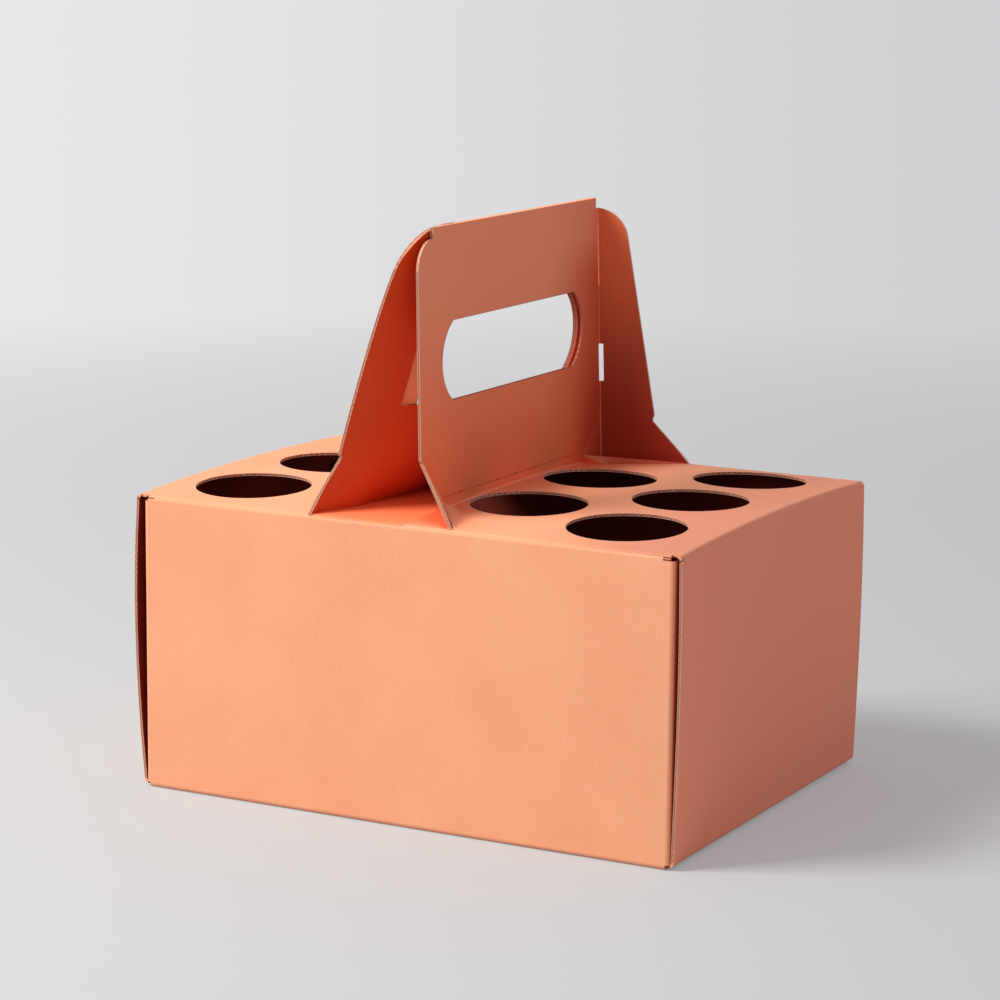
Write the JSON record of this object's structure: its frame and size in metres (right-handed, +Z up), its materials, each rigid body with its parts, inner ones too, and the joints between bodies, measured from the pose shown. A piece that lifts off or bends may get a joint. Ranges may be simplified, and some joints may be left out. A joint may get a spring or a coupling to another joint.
{
  "type": "cardboard cup carrier",
  "caption": "Folded corrugated cardboard cup carrier: an arched box with round cup holes in its top and a tall handle with a hand hole.",
  "frame": {"origin": "middle of the base, on the surface it stands on", "axes": "+X along the length towards the side with two rows of holes, +Y from the front panel to the back panel, +Z up"},
  "size_m": [0.3612, 0.268, 0.3465],
  "materials": {
    "board": "matt printed corrugated board"
  },
  "bodies": {
    "root": {"cup_carrier": "board"}
  },
  "joints": []
}
